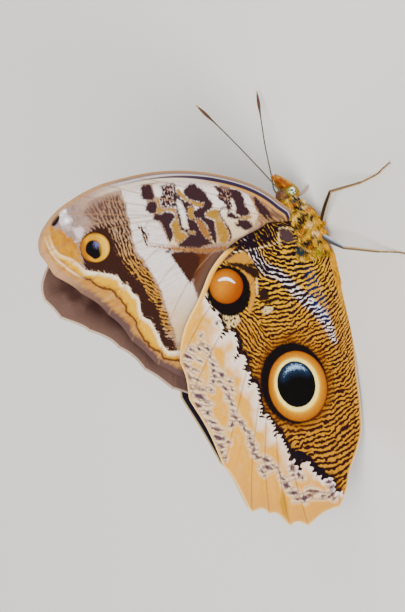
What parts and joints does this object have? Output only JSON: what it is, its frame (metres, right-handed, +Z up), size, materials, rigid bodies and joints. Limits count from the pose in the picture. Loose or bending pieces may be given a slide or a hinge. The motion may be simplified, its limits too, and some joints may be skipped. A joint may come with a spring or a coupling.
{
  "type": "owl butterfly",
  "caption": "Life-size owl butterfly standing with its wings closed upright over its back, large eyespots on the hindwings, a still display model.",
  "frame": {"origin": "on the floor under the middle of the overall box", "axes": "+X the way the head points, +Y the insect's left, +Z up"},
  "size_m": [0.1, 0.061, 0.0804],
  "materials": {
    "wing_scales": "fine matte wing scales, rippled brown and ochre with yellow-ringed eyespots",
    "body_hair": "long soft golden hair with dark blue-brown patches",
    "palp_hair": "short stiff orange hair",
    "eye_cornea": "smooth glossy pale yellow-green with small dark dashes",
    "cuticle": "satin tan cuticle, dark along the front of the thighs"
  },
  "bodies": {
    "root": {"head": "body_hair", "eye_left": "eye_cornea", "eye_right": "eye_cornea", "palp_left": "palp_hair", "palp_right": "palp_hair", "proboscis": "cuticle", "antenna_left": "cuticle", "antenna_right": "cuticle", "thorax": "body_hair", "abdomen": "body_hair", "foreleg_left": "body_hair", "foreleg_right": "body_hair", "femur_mid_left": "cuticle", "femur_mid_right": "cuticle", "femur_hind_left": "cuticle", "femur_hind_right": "cuticle", "tibia_mid_left": "cuticle", "tibia_mid_right": "cuticle", "tibia_hind_left": "cuticle", "tibia_hind_right": "cuticle", "tarsus_mid_left": "cuticle", "tarsus_mid_right": "cuticle", "tarsus_hind_left": "cuticle", "tarsus_hind_right": "cuticle", "forewing_left": "wing_scales", "forewing_right": "wing_scales", "hindwing_left": "wing_scales", "hindwing_right": "wing_scales"}
  },
  "joints": []
}
